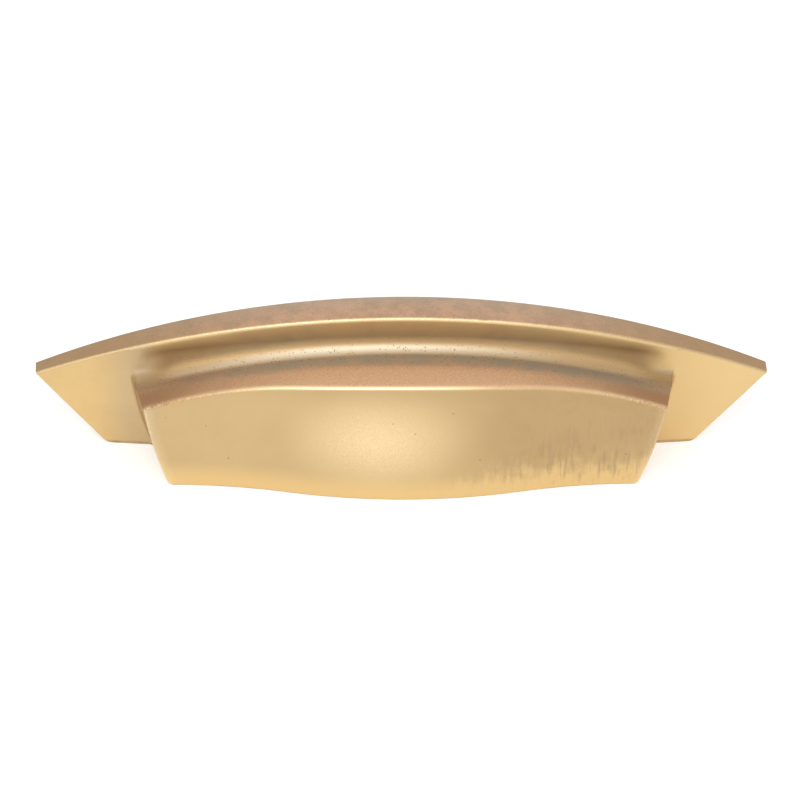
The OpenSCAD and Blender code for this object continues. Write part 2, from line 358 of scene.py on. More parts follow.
    def cheek_row(self, i, v):
        """Section point of a row of the hood, cut back by share v of the cheek's rounding."""
        _, d, z = self.hood_ends[i]
        ad, az = self.facing(self.outer_rows[i])
        kind, u = self.outer_rows[i]
        weight = (u if kind == "cove" else 0.0) if i < self.roof_row else 1.0
        cut = self.cheek_round*(1 - np.cos(math.pi/2*v))*weight
        return d - cut*ad, z - cut*max(az, 0.0)

    def level(self, i):
        """Share of the plate's height at which a row of the hood runs out on the plate."""
        if i <= self.plate_row:
            return 1.0
        _, z = self.cheek_row(min(i, self.roof_row), 1.0)
        if i > self.roof_row:
            z = z*((self.last - i)/(self.last - self.roof_row))**RUN_OUT
        return z/(self.top_z(self.station_x("fillet", 1.0, 0.0, z)) - self.edge_round)

    def beside(self, i, part, v, x):
        """Depth and height of a row at x, on the stations beside the hood."""
        rim = self.rim_round*(1 - np.cos(math.pi/2*v)) if part == "rim" else 0.0
        if i <= self.plate_row:
            ad, az = self.facing(self.outer_rows[i])
            d, z = self.section(self.outer_rows[i], x)
            return d - rim*ad*(d > 0), z - rim*az
        if part == "cheek":
            return self.cheek_row(i, v)
        rise = 0.0
        if part == "fillet":
            hood = self.cheek_row(i, 1.0)[0] - self.face_d(x)
            rise = np.minimum(hood, self.cheek_fillet*(1 + np.sin(self.fillet_turn(v))))
        return self.face_d(x) + rise - rim, self.levels[i]*(self.top_z(x) - self.edge_round)

    def settle(self, v, spot, station):
        """Places whose distance across fits their depth and height, found step by step."""
        at = np.full(v.shape, SEEK_FROM)
        d, z = spot(at)
        for _ in range(SETTLE):
            at = station(d, z)
            d, z = spot(at)
        return np.stack([at, d + 0*at, z + 0*at], axis=1)

    def between(self, find, v):
        """Places on the straight from the cheek's last station to the fillet's first."""
        start = find("cheek", END)
        end = find("fillet", START)
        return start + (end - start)*v[:, None]

    def place(self, i, part, v):
        """Where a row and a station of the outside meet."""
        if part == "side":
            return self.between(partial(self.place, i), v)

        def spot(x):
            if part == "hood":
                return self.section(self.outer_rows[i], x)
            return self.beside(i, part, v, x)

        return self.settle(v, spot, partial(self.station_x, part, v))

    def inside_d(self, x, z):
        return self.front_d(x, z) - self.wall_d

    def inside_z(self, x):
        return self.roof_z(x) - self.wall

    def inside_x(self, d, z):
        return self.cheek_x(d, z) - self.wall_x

    def inside_section(self, row, x, cut):
        """Depth and height of a row of the inside at x, cut back by the rounding beside the cheeks."""
        kind, u = row
        lip_z = self.lip_round
        lip_d = self.touching(self.inside_d(x, lip_z), self.lip_round)
        high = self.inside_z(x)
        corner_z = high - self.inner_r
        corner_d = self.touching(self.inside_d(x, corner_z), -self.inner_r)
        if kind == "lip":
            turn = 1.5*math.pi - (math.pi/2 - self.front_lean)*u
            return lip_d + self.lip_round*math.cos(turn) - cut, lip_z + self.lip_round*math.sin(turn)
        if kind == "front":
            z = lip_z + (corner_z - lip_z)*u
            return self.inside_d(x, z) - cut, z
        if kind == "corner":
            turn = self.front_lean + (math.pi/2 - self.front_lean)*u
            r = self.inner_r - cut
            return corner_d + r*math.cos(turn), corner_z + r*math.sin(turn)
        return corner_d*(1 - u if kind == "ceiling" else 0.0), high - cut

    def inside_place(self, row, part, v):
        """Where a row of the inside meets a station: on the hood's walls, or on the lower edge."""
        if part == "side":
            return self.between(partial(self.inside_place, row), v)
        if part in ("hood", "cheek"):
            bend = math.pi/2*v
            along = v if part == "hood" else 1.0
            rounding = self.inner_side_r*(1.0 if part == "hood" else 1 - np.sin(bend))
            cut = self.inner_side_r*(0.0 if part == "hood" else 1 - np.cos(bend))
            return self.settle(
                v,
                lambda x: self.inside_section(row, x, cut),
                lambda d, z: along*(self.inside_x(d, z) - rounding),
            )
        d = self.inside_place(row, "cheek", END)[0, 1]
        spread = EDGE_SPREAD*d/self.inside_place(self.inner_rows[0], "cheek", END)[0, 1]
        wing = self.place(self.last, part, v)
        spots = np.stack([wing[:, 0], spread*wing[:, 1], 0*v], axis=1)
        if part == "fillet":
            spots[v == 0] = (self.inside_x(d, 0.0), d, 0.0)
        return spots

    def back_place(self, k, part, v):
        """Rows of the flat back, from the opening or the lower edge up toward the top."""
        if part == "side":
            return self.between(partial(self.back_place, k), v)
        foot = self.inside_place(self.inner_rows[-1], part, v)[:, 2]

        def spot(x):
            over = foot + (self.top_z(x) - foot)*k/(self.back_rows + 1)
            plate = self.levels[self.last - k]*(self.top_z(x) - self.edge_round)
            return 0.0, np.where(foot > 0, over, plate)

        return self.settle(v, spot, partial(self.station_x, part, v, flat=True))

    def loops(self):
        """Closed loops of one half, from the middle to the tip: over the front, inside and up the back."""
        found = []
        for part in dict.fromkeys(kind for kind, _ in self.stations):
            v = np.array([u for kind, u in self.stations if kind == part])
            rows = [self.place(i, part, v) for i in range(self.last + 1)]
            rows += [self.inside_place(row, part, v) for row in self.inner_rows]
            rows += [self.back_place(k, part, v) for k in range(1, self.back_rows + 1)]
            found.append(np.stack(rows, axis=1))
        return self.melt(np.concatenate(found))

    def melt(self, loops):
        """Lets the two ends of the cove sink and melt into the plate, less so toward the roof."""
        rows = slice(self.plate_row + 1, self.roof_row)
        high = np.array([u if kind == "cove" else 0.0 for kind, u in self.outer_rows[rows]])
        reach = np.array([
            smooth(v, 0.86, 1.0) if part == "hood" else float(part in BESIDE_HOOD)
            for part, v in self.stations
        ])
        face = self.face_d(loops[:, rows, 0])
        keep = 1 - reach[:, None]*(1 - smooth(high, 0.52, 0.93))[None, :]
        loops[:, rows, 1] = face + (loops[:, rows, 1] - face)*keep
        pull = 0.5*smooth(1 - np.sin(math.pi/2*high), 0.0, 0.72)[None, :, None]
        near = [
            i for i, (part, v) in enumerate(self.stations)
            if part in BESIDE_HOOD or (part == "hood" and v > 0.93)
        ]
        patch = loops[near[0] - 1:near[-1] + 2, rows]
        for _ in range(MELT):
            middle = (patch[:-2] + patch[2:])/2
            patch[1:-1] += pull*(middle - patch[1:-1])
        return loops


# Meshes

# Places of the finishes in the casting's list of materials
AGED, CAST, GROUND, CUT = range(4)
# Points round a post, rows of points in each turn of its thread, and half the drill point's angle
POST_SIDES = 48
THREAD_STEPS = 8
DRILL_POINT = math.radians(59)
# Plain bore between the thread and the drill point
PLAIN_BORE = 0.1*MM
# Points of a post that lie closer than this are one point
WELD = 1e-7
# Waves of the unevenness in a metre, slow and quick, and a shift that keeps the two apart
SLOW_WAVES = 150
QUICK_WAVES = 620
QUICK_SHIFT = Vector((3, 7, 1))
# The nick in the plate's top edge
NICK_X = 13.6*MM
NICK_REACH = 0.5*MM
NICK_DEPTH = 0.18*MM


def new_object(name, mesh):
    obj = bpy.data.objects.new(name, mesh)
    bpy.context.scene.collection.objects.link(obj)
    return obj


def face_outward(mesh, weld=0.0):
    """Joins points that lie closer than weld, and turns all faces outward."""
    bm = bmesh.new()
    bm.from_mesh(mesh)
    if weld:
        bmesh.ops.remove_doubles(bm, verts=bm.verts, dist=weld)
    bmesh.ops.recalc_face_normals(bm, faces=bm.faces)
    bm.to_mesh(mesh)
    bm.free()


def ring_faces(count, around):
    """Faces between rings of points that lie one after another."""
    index = np.arange(count*around).reshape(count, around)
    ahead = np.roll(index, -1, axis=1)
    return np.stack([index[:-1], ahead[:-1], ahead[1:], index[1:]], axis=2).reshape(-1, 4).tolist()


def wear_and_light_masks(form, half):
    """Shares of each kind of wear, and of painted light and shade, on every station and row of one half."""
    count = half.shape[1]
    more = count - len(form.outer_rows)
    kind = np.array([k for k, _ in form.outer_rows] + ["inside"]*more)
    u = np.array([share for _, share in form.outer_rows] + [0.0]*more)
    part = np.array([p for p, _ in form.stations])[:, None]
    v = np.array([share for _, share in form.stations])[:, None]
    across, depth = half[:, :, 0], half[:, :, 1]
    below_roof = np.arange(count) > form.roof_row

    def on(name, value=1.0):
        return np.where(kind == name, value, 0.0)

    def at(name, value=1.0):
        return np.where(part == name, value, 0.0)

    corners = at("cheek") + at("side", 1 - smooth(v, 0.3, 1.0))
    hood = at("hood") + corners
    cove = at("hood", 1 - 0.5*smooth(v, 0.90, 1.0)) + at("cheek", 0.5 - 0.3*v) + at("side", 0.2*(1 - v))
    upper = on("back") + on("band") + on("edge", 1 - smooth(u, 0.25, 0.7))
    from_cove = depth - form.roof_d
    # The edges' worn metal and painted highlight fade toward the ends
    edge_fade = 1 - 0.25*smooth(across, 15*MM, 44*MM)
    deep = 0.38*smooth(across, 10*MM, 42*MM) + 0.14*smooth(across, 38*MM, 45*MM)
    aside = smooth(across, 20*MM, 40*MM)
    above_film = 1 - smooth(u, 0.72, 0.92)
    ahead = on("brow", smooth(u, 0.5, 1.0)) + on("front") + on("lip")
    corner = at("cheek", 0.7*hump(v, 0.45, 0.65)) + at("hood", 0.28*smooth(v, 0.965, 1.0))
    rim = at("rim", hump(v, 0.4, 0.6))*on("face")
    face = on("face", 0.6 + 0.4*u - 0.35*aside*(1 - u)) + on("edge", 0.6*smooth(u, 0.8, 1.0)*(1 - aside))
    face = face + on("cove", 1 - (u > 0)*smooth(u - deep, 0.0, 0.2))
    foot = (at("side", smooth(v, 0.7, 1.0)) + at("fillet", 1 - smooth(v, 0.0, 0.5)))*below_roof
    return {
        "patina": np.maximum(upper, hood*(on("cove", smooth(u, 0.76, 0.94)) + on("roof") + on("brow"))),
        "turned": on("brow", u) + on("front") + on("lip"),
        "film": hood*(on("cove", 1 - above_film) + on("roof", 1 - smooth(from_cove, 0.7*MM, 3.8*MM))),
        # Upper cove, dulled: tarnishing and painted shade
        "dulled": cove*on("cove", smooth(u - deep, 0.0, 0.12)*above_film),
        # The cove's light band: a painted highlight
        "pale": cove*on("cove", smooth(u - 0.8*deep, 0.25, 0.60)*(1 - smooth(u, 0.74, 1.0))),
        # Roof and brow painted lighter: painted light
        "shine": hood*(on("roof", smooth(u, 0.22, 0.48)) + on("brow")),
        "ends": at("hood", smooth(v, 0.70, 1.0)) + corners,
        # Ends of the cove, where its painted highlight and a grey painted shade are laid
        "cove_end": (at("hood", smooth(v, 0.90, 1.0)) + corners)*on("cove", hump(u, 0.70, 0.28)),
        # Crest of the brow: worn sparkle and a painted highlight
        "crest": hood*on("brow", hump(u, 0.45, 0.45)),
        # Worn edges, partly a painted highlight
        "rub": np.maximum.reduce([on("edge", hump(u, 0.58, 0.46))*edge_fade, corner*ahead, rim]),
        "edge_line": on("edge", hump(u, 0.5, 0.2)),
        # Face under the top edge: tarnishing and painted shade
        "tarnish": face*at("hood", 1 - smooth(v, 0.86, 1.0)),
        "browned": aside*(on("face", smooth(u, 0.2, 1.0)) + on("cove")),
        # Painted shade in the corners beside the hood and under the lip, with some dirt
        "grime": np.maximum(0.6*foot, on("lip", smooth(u, 0.12, 0.45))),
        "front": ahead*(at("hood") + at("cheek")),
    }


def end_caps(form, far):
    """Faces that close the skin at its two tips, where the far tip's points count from far."""
    last = form.last
    inside = len(form.outer_rows) + len(form.inner_rows)
    cap = [list(range(last - 1, inside + 1))]
    cap += [[last - k - 1, last - k, inside + k - 1, inside + k] for k in range(1, form.back_rows)]
    cap.append(list(range(0, last - form.back_rows + 1)) + [inside + form.back_rows - 1])
    return [face[::-1] for face in cap] + [[far + i for i in face] for face in cap]


def skin_finishes(form, count, around):
    """Finish of each face of the skin: aged outside, cast inside the hood and ground on the back."""
    outside = len(form.outer_rows)
    inside = outside + len(form.inner_rows)
    parts = [part for part, _ in form.stations]
    hollow = np.isin(parts[:0:-1] + parts, ("hood", "cheek", "side"))
    finishes = np.full((count - 1, around), AGED)
    finishes[:, outside + 2:inside - 1] = np.where(hollow[:-1] & hollow[1:], CAST, AGED)[:, None]
    finishes[:, inside - 1:] = GROUND
    return finishes.reshape(-1)


def casting_mesh(form):
    """The skin as a closed mesh in the frame, with its masks of wear and of painted light and shade, and its
    finishes.
    """
    half = form.loops()
    left = half[:0:-1].copy()
    left[:, :, 0] *= -1
    loops = np.concatenate([left, half])
    count, around = loops.shape[:2]
    places = np.stack([loops[:, :, 0], -loops[:, :, 1], loops[:, :, 2] - form.hole_h], axis=2)
    caps = end_caps(form, around*(count - 1))

    mesh = bpy.data.meshes.new(PIECE)
    mesh.from_pydata(places.reshape(-1, 3).tolist(), [], ring_faces(count, around) + caps)
    finishes = np.concatenate([skin_finishes(form, count, around), np.full(len(caps), AGED)])
    mesh.polygons.foreach_set("material_index", finishes.astype(np.int32))
    for key, mask in wear_and_light_masks(form, half).items():
        mask = np.broadcast_to(mask, half.shape[:2])
        values = np.concatenate([mask[:0:-1], mask]).astype(np.float32)
        mesh.attributes.new(key, "FLOAT", "POINT").data.foreach_set("value", values.reshape(-1))
    face_outward(mesh)
    waver_skin(mesh, form, around)
    mesh.validate()
    return mesh


def waver_skin(mesh, form, around):
    """Presses the outside in by a little where it was filed and cast, and nicks its top edge."""
    mesh.update()
    looks = [vertex.normal.copy() for vertex in mesh.vertices]
    places = [vertex.co.copy() for vertex in mesh.vertices]
    for i, (p, look) in enumerate(zip(places, looks)):
        row = i % around
        if not 0 < row < form.last - 3:
            continue
        slow = 0.5 + 0.5*noise.noise(p*SLOW_WAVES)
        quick = 0.5 + 0.5*noise.noise(p*QUICK_WAVES + QUICK_SHIFT)
        press = form.waver*(0.75*slow + 0.25*quick)
        nick = math.exp(-((p.x - NICK_X)/NICK_REACH)**2)*float(smooth(-row, -12, -6))
        places[i] = p - look*(press + NICK_DEPTH*nick)
    mesh.vertices.foreach_set("co", [c for p in places for c in p])
    mesh.update()


def post_mesh(form, side):
    """One post with its blind tapped hole, closed, pointing into the hood."""
    crest = form.hole_d/2
    root = form.thread_d/2
    length_in = float(form.front_d(form.hole_spacing/2, form.hole_h)) - form.wall/2
    thread_rows = int((form.hole_depth - form.hole_chamfer)/form.thread_pitch*THREAD_STEPS)
    # Radius and depth of each ring of points, and 1 where the thread is cut
    profile = [(0.0, length_in, 0), (form.post_d/2, length_in, 0), (form.post_d/2, 0.0, 0)]
    profile += [(root + form.hole_chamfer, 0.0, 0), (root, form.hole_chamfer, 0)]
    for i in range(thread_rows):
        profile.append((crest, form.hole_chamfer + (i + 1)*form.thread_pitch/THREAD_STEPS, 1))
    profile.append((crest, form.hole_depth + PLAIN_BORE, 0))
    profile.append((0.0, form.hole_depth + crest/math.tan(DRILL_POINT), 0))
    points = []
    for r, d, cut in profile:
        fade = min(1.0, (form.hole_depth - d)/form.thread_pitch) if cut else 0.0
        for k in range(POST_SIDES):
            turn = 2*math.pi*k/POST_SIDES
            phase = (d/form.thread_pitch - k/POST_SIDES) % 1.0
            groove = float(np.clip(1.5*(1 - abs(2*phase - 1)) - 0.2, 0, 1))
            out = r + cut*fade*(root - crest)*groove
            points.append((side*form.hole_spacing/2 + out*math.cos(turn), -d, out*math.sin(turn)))
    faces = ring_faces(len(profile), POST_SIDES)
    mesh = bpy.data.meshes.new("tapped_post")
    mesh.from_pydata(points, [], faces)
    finishes = [CAST]*(2*POST_SIDES) + [GROUND]*POST_SIDES
    mesh.polygons.foreach_set("material_index", finishes + [CUT]*(len(faces) - len(finishes)))
    face_outward(mesh, WELD)
    return mesh


# Materials

class Shading:
    """Adds and joins the nodes of one material or one group, and lays coats of colour."""

    def __init__(self, tree):
        self.tree = tree
        self.colour = None

    def add(self, kind, **settings):
        made = self.tree.nodes.new(kind)
        for key, value in settings.items():
            setattr(made, key, value)
        return made

    def put(self, socket, value):
        if isinstance(value, bpy.types.NodeSocket):
            self.tree.links.new(value, socket)
        elif socket.type == "RGBA" and len(value) == 3:
            socket.default_value = (*value, 1.0)
        else:
            socket.default_value = value

    def work(self, operation, *values):
        made = self.add("ShaderNodeMath", operation=operation)
        for socket, value in zip(made.inputs, values):
            self.put(socket, value)
        return made.outputs[0]

    def chain(self, operation, values):
        result = values[0]
        for value in values[1:]:
            result = self.work(operation, result, value)
        return result

    def times(self, *values):
        return self.chain("MULTIPLY", values)

    def plus(self, *values):
        return self.chain("ADD", values)

    def most(self, *values):
        return self.chain("MAXIMUM", values)

    def less(self, value, part):
        return self.work("SUBTRACT", value, part)

    def ease(self, value, low, high, start=0.0, end=1.0):
        """Goes smoothly from start at low to end at high."""
        made = self.add("ShaderNodeMapRange", interpolation_type="SMOOTHSTEP")
        entries = {"Value": value, "From Min": low, "From Max": high, "To Min": start, "To Max": end}
        for key, entry in entries.items():
            self.put(made.inputs[key], entry)
        return made.outputs["Result"]

    def blend(self, factor, first, second):
        made = self.add("ShaderNodeMix", data_type="RGBA")
        self.put(made.inputs["Factor"], factor)
        colours = [socket for socket in made.inputs if socket.type == "RGBA"]
        for socket, value in zip(colours, (first, second)):
            self.put(socket, value)
        return [socket for socket in made.outputs if socket.type == "RGBA"][0]

    def coat(self, factor, colour):
        """Lays a colour over the coats below it."""
        self.colour = self.blend(factor, self.colour, colour)

    def spot(self, x, z, middle, reach):
        """1 at the middle of an ellipse, easing to 0 at its reach."""
        squares = []
        for value, start, size in zip((x, z), middle, reach):
            side = self.times(self.less(value, start), 1/size)
            squares.append(self.times(side, side))
        return self.ease(self.work("SQRT", self.plus(*squares)), 1.0, 0.0)

    def mask(self, name):
        return self.add("ShaderNodeAttribute", attribute_type="GEOMETRY", attribute_name=name).outputs["Fac"]

    def place(self):
        return self.add("ShaderNodeTexCoord").outputs["Object"]

    def stretch(self, vector, scale):
        made = self.add("ShaderNodeVectorMath", operation="MULTIPLY")
        self.put(made.inputs[0], vector)
        made.inputs[1].default_value = scale
        return made.outputs["Vector"]

    def cloud(self, vector, scale, detail, roughness):
        made = self.add("ShaderNodeTexNoise")
        entries = {"Vector": vector, "Scale": scale, "Detail": detail, "Roughness": roughness}
        for key, value in entries.items():
            self.put(made.inputs[key], value)
        return made.outputs["Fac"]

    def group(self, tree, **values):
        made = self.add("ShaderNodeGroup", node_tree=tree)
        for key, value in values.items():
            self.put(made.inputs[key], value)
        return made.outputs


def new_group(name, inputs, outputs):
    """A node group that takes a vector and the numbers given, and puts out numbers."""
    tree = bpy.data.node_groups.new(name, "ShaderNodeTree")
    tree.interface.new_socket("Vector", in_out="INPUT", socket_type="NodeSocketVector")
    for label, value in inputs.items():
        socket = tree.interface.new_socket(label, in_out="INPUT", socket_type="NodeSocketFloat")
        socket.default_value = value
    for label in outputs:
        tree.interface.new_socket(label, in_out="OUTPUT", socket_type="NodeSocketFloat")
    made = Shading(tree)
    return tree, made, made.add("NodeGroupInput").outputs, made.add("NodeGroupOutput").inputs


def mottle_group():
    """Cloudy patches with broken rims."""
    tree, made, given, out = new_group("Patina Mottle", {"Scale": 200.0, "Low": 0.4, "High": 0.6}, ["Mask"])
    broad = made.cloud(given["Vector"], given["Scale"], 6.0, 0.62)
    made.put(out["Mask"], made.ease(broad, given["Low"], given["High"]))
    return tree


def pits_group():
    """Small casting pits and specks: where they are, and how deep."""
    tree, made, given, out = new_group("Casting Pits", {"Scale": 900.0, "Spread": 0.5}, ["Mask", "Height"])
    cells = made.add("ShaderNodeTexVoronoi", feature="F1")
    for key in ("Vector", "Scale"):
        made.put(cells.inputs[key], given[key])
    chosen = made.add("ShaderNodeSeparateColor")
    made.put(chosen.inputs[0], cells.outputs["Color"])
    size = made.ease(chosen.outputs[0], made.less(1.0, given["Spread"]), 1.0, 0.0, 0.42)
    pit = made.ease(made.less(size, cells.outputs["Distance"]), 0.0, 0.12)
    made.put(out["Mask"], pit)
    made.put(out["Height"], made.less(1.0, pit))
    return tree


def strokes_group():
    """Fine lines left by filing, brushing or wiping, drawn along the stretched vector."""
    tree, made, given, out = new_group("Finishing Strokes", {"Scale": 1.0}, ["Lines", "Height"])
    lines = made.cloud(given["Vector"], given["Scale"], 3.0, 0.55)
    made.put(out["Lines"], made.ease(lines, 0.42, 0.66))
    made.put(out["Height"], lines)
    return tree


class Effects:
    """The node groups that the finishes share, built once."""

    def __init__(self):
        self.mottle = mottle_group()
        self.pitting = pits_group()
        self.filing = strokes_group()

    def patches(self, made, scale, low, high):
        return made.group(self.mottle, Vector=made.place(), Scale=scale, Low=low, High=high)["Mask"]

    def pits(self, made, scale, spread):
        return made.group(self.pitting, Vector=made.place(), Scale=scale, Spread=spread)

    def strokes(self, made, along, scale):
        return made.group(self.filing, Vector=made.stretch(made.place(), along), Scale=scale)


def metal(name):
    material = bpy.data.materials.new(name)
    material.use_nodes = True
    made = Shading(material.node_tree)
    shader = material.node_tree.nodes["Principled BSDF"]
    shader.inputs["Metallic"].default_value = 1.0
    return material, made, shader


def rough_skin(made, shader, height, depth):
    bump = made.add("ShaderNodeBump")
    bump.inputs["Strength"].default_value = 1.0
    bump.inputs["Distance"].default_value = depth
    made.put(bump.inputs["Height"], height)
    made.put(shader.inputs["Normal"], bump.outputs["Normal"])


# Masks on the mesh; some hold painted light and shade: the cove's painted highlight, the painted lighter
# copper, and painted shade in the cove, on the face, in the corners and under the lip.
PATINA_MASKS = ("front", "patina", "turned", "film", "dulled", "pale")
EDGE_MASKS = ("shine", "ends", "cove_end", "crest", "rub", "edge_line", "tarnish", "browned", "grime")


def aged_brass(finish, effects):
    """Worn brass: patina on the faces that look up, tarnishing and painted shade in the corners and on the
    face under the top edge, worn metal and painted highlights on the edges, and painted light and shade on
    the plate and the front.
    """
    material, made, shader = metal("aged_brass")
    ease, blend, coat = made.ease, made.blend, made.coat
    times, plus, less, most = made.times, made.plus, made.less, made.most
    axes = made.add("ShaderNodeSeparateXYZ")
    made.put(axes.inputs[0], made.place())
    x, y, z = (axes.outputs[key] for key in "XYZ")
    wide = made.work("ABSOLUTE", x)
    front, patina, turned, film, dulled, pale = (made.mask(key) for key in PATINA_MASKS)
    shine, ends, cove_end, crest, rub, edge_line, tarnish, browned, grime = (
        made.mask(key) for key in EDGE_MASKS
    )
    cloud = effects.patches(made, 110.0, 0.35, 0.68)
    smudge = effects.patches(made, 330.0, 0.38, 0.66)
    grain = effects.patches(made, 3300.0, 0.36, 0.64)
    pits = effects.pits(made, 2900.0, 0.42)
    specks = effects.pits(made, 2000.0, 0.009)["Mask"]
    strokes = effects.strokes(made, (1.0, 1.0, 0.06), 1500.0)
    lines = strokes["Lines"]
    speckle = less(grain, 0.5)

    # Plate: painted shade beside the hood, heavier at its left, with random cloudy dulling and a grey painted
    # shade in the fillet; brighter toward the right tip
    made.colour = blend(front, finish.brass, finish.satin)
    plate = ease(front, 1.0, 0.0)
    # Painted shade beside the hood, heavier at the left
    beside = times(ease(wide, 0.058, 0.044), plate, ease(x, -0.03, 0.03, 0.34, 0.22))
    clouded = times(cloud, ease(x, -0.04, 0.04, 0.18, 0.08))
    coat(plus(beside, clouded), finish.dull)
    # Grey painted shade in the fillet beside the hood, at the left
    close = times(ease(wide, 0.055, 0.047), ease(wide, 0.0425, 0.0455))
    coat(times(close, ease(x, -0.03, 0.03, 0.30, 0.0)), finish.ash)
    coat(times(plate, ease(x, 0.040, 0.062, 0.0, 0.20)), finish.rubbed_and_highlight)

    # Front: brighter along the lip as a painted reflection of the lit floor, duller and wiped at the right,
    # painted shade under the brow, and a painted highlight in the middle
    sway = plus(times(lines, 0.0018), times(smudge, 0.0020))
    ragged = plus(z, times(less(sway, 0.0019), ease(x, 0.0, 0.02)))
    # Painted reflection of the lit floor along the lip
    coat(times(front, ease(ragged, -0.0070, -0.0113)), finish.brass)
    right = times(front, ease(x, 0.002, 0.022), ease(ragged, -0.0118, -0.0044))
    coat(times(right, ease(cloud, 0.0, 1.0, 1.0, 0.78)), finish.dull)
    wiped = times(front, ease(x, 0.012, 0.030))
    wiped = times(wiped, ease(z, -0.0122, -0.0090), ease(z, 0.004, -0.005))
    coat(times(wiped, ease(lines, 0.45, 1.0), 0.20), finish.umber)
    # Painted shade under the brow
    coat(times(front, ease(z, 0.0045, 0.0100), 0.40), finish.dull)
    # Painted highlight in the middle of the front
    middle_highlight = times(front, made.spot(x, z, (-0.0052, -0.0007), (0.0190, 0.0118)))
    coat(times(middle_highlight, ease(grain, 0.0, 1.0, 0.70, 1.0)), finish.rubbed_and_highlight)

    # Roof and top edge: copper, with painted light making it lighter on the roof and brow, grey along the
    # cove and the back, brown at the ends, partly patina and partly painted shade, thin along the brow
    late = most(ease(wide, 0.016, 0.036), ease(x, 0.004, 0.020))
    reds = blend(times(smudge, 0.38), finish.copper, finish.umber)
    # Painted light: lighter copper on the roof and brow
    reds = blend(times(shine, ease(wide, 0.016, 0.042, 0.95, 0.45)), reds, finish.lit_copper)
    reds = blend(times(grain, 0.24), reds, finish.umber)
    reds = blend(ease(y, -0.0050, 0.0, 0.0, 0.40), reds, finish.ash)
    # Browner and darker red at the ends: patina and painted shade
    reds = blend(ease(wide, 0.014, 0.056, 0.0, 0.72), reds, finish.cast)
    reds = blend(times(ends, shine, ease(grain, 0.0, 1.0, 0.75, 0.5)), reds, finish.red_patina_and_shade)
    uneven = plus(times(less(smudge, 0.5), 0.30), times(speckle, 0.40))
    thinner = times(ease(x, -0.042, -0.020, 0.25, 1.0), ease(x, 0.034, 0.046, 1.0, 0.5))
    reds = blend(times(film, thinner, plus(0.85, uneven)), reds, finish.ash)
    rim = plus(turned, times(speckle, ease(late, 0.0, 1.0, 0.15, 0.36)))
    over = ease(less(rim, times(late, 0.28)), 0.60, 0.15)
    patina = times(patina, over, finish.patina)
    # Darker film at the ends, partly painted shade
    coat(times(ends, film), finish.umber)
    coat(patina, reds)

    # Cove: dulled above by tarnishing and painted shade, a painted highlight below that is strongest left of
    # the middle, its ends half covered with that highlight at the left and a grey painted shade at the right
    coat(dulled, finish.dull)
    # Painted highlight along the cove
    worn = times(pale, ease(x, -0.056, -0.026), ease(x, 0.034, -0.002, 0.22, 1.0))
    coat(worn, finish.pale)
    # Cove ends: the painted highlight at the left, a grey painted shade at the right
    settled = blend(ease(x, -0.01, 0.01), finish.pale, finish.ash)
    coat(times(cove_end, 0.5), settled)

    # Worn edges with painted highlights, tarnishing and painted shade on the face, painted shade in the
    # corners, and pits
    # Worn edges, partly a painted highlight fading toward the ends
    bare_and_highlight = times(rub, ease(grain, 0.0, 1.0, 1.0, 0.6), ease(x, 0.012, 0.034, 1.0, 0.75))
    coat(bare_and_highlight, finish.rubbed_and_highlight)
    # Worn sparkle and a painted highlight along the brow, more at the right
    bright = times(crest, ease(late, 1.0, 0.0, ease(grain, 0.4, 0.95, 0.0, 0.18), 1.0))
    bright = plus(bright, times(crest, ease(x, 0.022, 0.036), 0.25))
    coat(bright, finish.rubbed_and_highlight)
    coat(times(edge_line, ease(x, 0.030, 0.044), 0.45), finish.umber)
    # Face under the top edge: tarnishing and painted shade
    face_tarnish_and_shade = blend(browned, finish.tarnish, finish.bister)
    coat(times(tarnish, ease(cloud, 0.0, 1.0, 0.85, 1.0)), face_tarnish_and_shade)
    # Painted shade in the corners beside the hood and under the lip, with some dirt
    coat(times(grime, ease(smudge, 0.0, 1.0, 0.28, 0.50)), finish.soot_and_shade)
    marked = plus(times(patina, 0.30), times(dulled, 0.30))
    marked = plus(marked, times(film, 0.40), times(pale, 0.40))
    coat(times(pits["Mask"], marked), finish.soot_and_shade)
    coat(times(specks, front, 0.5), finish.soot_and_shade)
    made.put(shader.inputs["Base Color"], made.colour)

    rough = plus(0.36, times(most(patina, dulled), 0.14))
    rough = plus(rough, times(most(tarnish, grime), 0.10), times(grain, 0.06))
    made.put(shader.inputs["Roughness"], rough)
    skin = plus(times(pits["Height"], marked), times(strokes["Height"], 0.12))
    rough_skin(made, shader, plus(skin, times(grain, -0.2)), 0.02*MM)
    return material


def cast_skin(finish, effects):
    """Inside of the hood: the brown, grainy skin that the mould left."""
    material, made, shader = metal("cast_skin")
    cloud = effects.patches(made, 160.0, 0.36, 0.66)
    grain = effects.patches(made, 1500.0, 0.35, 0.65)
    pits = effects.pits(made, 600.0, 0.22)
    made.colour = made.blend(made.times(cloud, 0.6), finish.cast, finish.dull)
    made.coat(made.times(grain, 0.35), finish.soot_and_shade)
    made.coat(made.times(pits["Mask"], 0.7), finish.soot_and_shade)
    made.put(shader.inputs["Base Color"], made.colour)
    made.put(shader.inputs["Roughness"], made.ease(grain, 0.0, 1.0, 0.5, 0.64))
    rough_skin(made, shader, made.plus(made.times(grain, 0.6), pits["Height"]), 0.06*MM)
    return material


